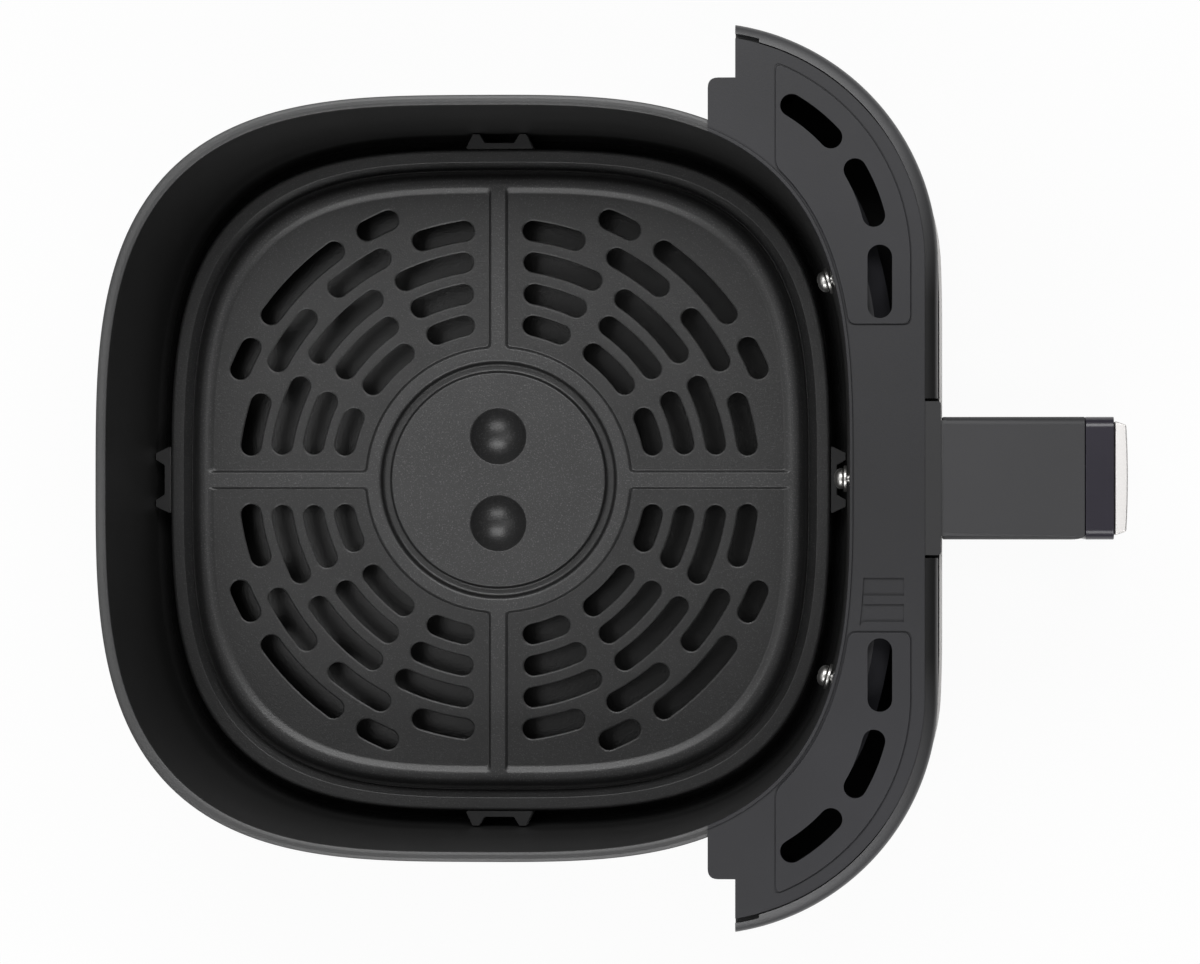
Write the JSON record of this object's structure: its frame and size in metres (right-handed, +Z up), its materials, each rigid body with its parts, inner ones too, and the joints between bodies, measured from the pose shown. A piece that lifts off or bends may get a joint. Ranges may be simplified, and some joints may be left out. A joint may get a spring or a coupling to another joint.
{
  "type": "air fryer drawer",
  "caption": "Pull-out frying drawer: rounded-square non-stick pan, slotted crisper plate on silicone bumpers, curved front fascia with vents, and a looped handle with a metal trim.",
  "frame": {"origin": "centre of the pan's flat underside, on the surface that the drawer stands on", "axes": "+X out of the appliance, from the pan towards the handle; +Y to the left of someone facing the handle's back, along the fascia's width; +Z up, out of the pan"},
  "size_m": [0.3201, 0.2806, 0.1097],
  "materials": {
    "pan_coating": "dark matt non-stick coating on drawn steel",
    "plate_coating": "fine-grained charcoal non-stick coating",
    "silicone": "matt black silicone",
    "fascia_moulding": "dark grey moulded, finely textured",
    "shell_moulding": "dark grey moulded, satin",
    "front_stainless": "brushed stainless sheet",
    "handle_moulding": "grey moulded, satin",
    "grip_gloss": "polished, very dark",
    "trim_stainless": "satin stainless cap",
    "screw_steel": "bright plated",
    "bracket_steel": "zinc-plated sheet",
    "heat_spacer": "pressed mica washer"
  },
  "bodies": {
    "drawer": {"pan": "pan_coating", "pan_screw_1": "screw_steel", "pan_screw_2": "screw_steel", "pan_screw_3": "screw_steel", "pan_washer_1": "screw_steel", "pan_washer_2": "screw_steel", "pan_washer_3": "screw_steel", "heat_spacer_1": "heat_spacer", "heat_spacer_2": "heat_spacer", "heat_spacer_3": "heat_spacer", "fascia_insert": "fascia_moulding", "fascia_shell": "shell_moulding", "front_panel": "front_stainless", "shell_screw_1": "screw_steel", "shell_screw_2": "screw_steel", "shell_screw_3": "screw_steel", "shell_screw_4": "screw_steel", "handle_bracket": "bracket_steel", "handle_body": "handle_moulding", "grip_cover": "grip_gloss", "handle_trim": "trim_stainless", "handle_screw_1": "screw_steel", "handle_screw_2": "screw_steel", "handle_screw_3": "screw_steel", "handle_screw_4": "screw_steel", "grip_screw_1": "screw_steel", "grip_screw_2": "screw_steel"},
    "crisper": {"crisper_plate": "plate_coating", "bumper_front": "silicone", "bumper_left": "silicone", "bumper_back": "silicone", "bumper_right": "silicone"}
  },
  "joints": [
    {"name": "crisper_lift", "type": "slide", "parent": "drawer", "child": "crisper", "axis": [0, 0, 1], "range_m": [0, 0.12]}
  ]
}
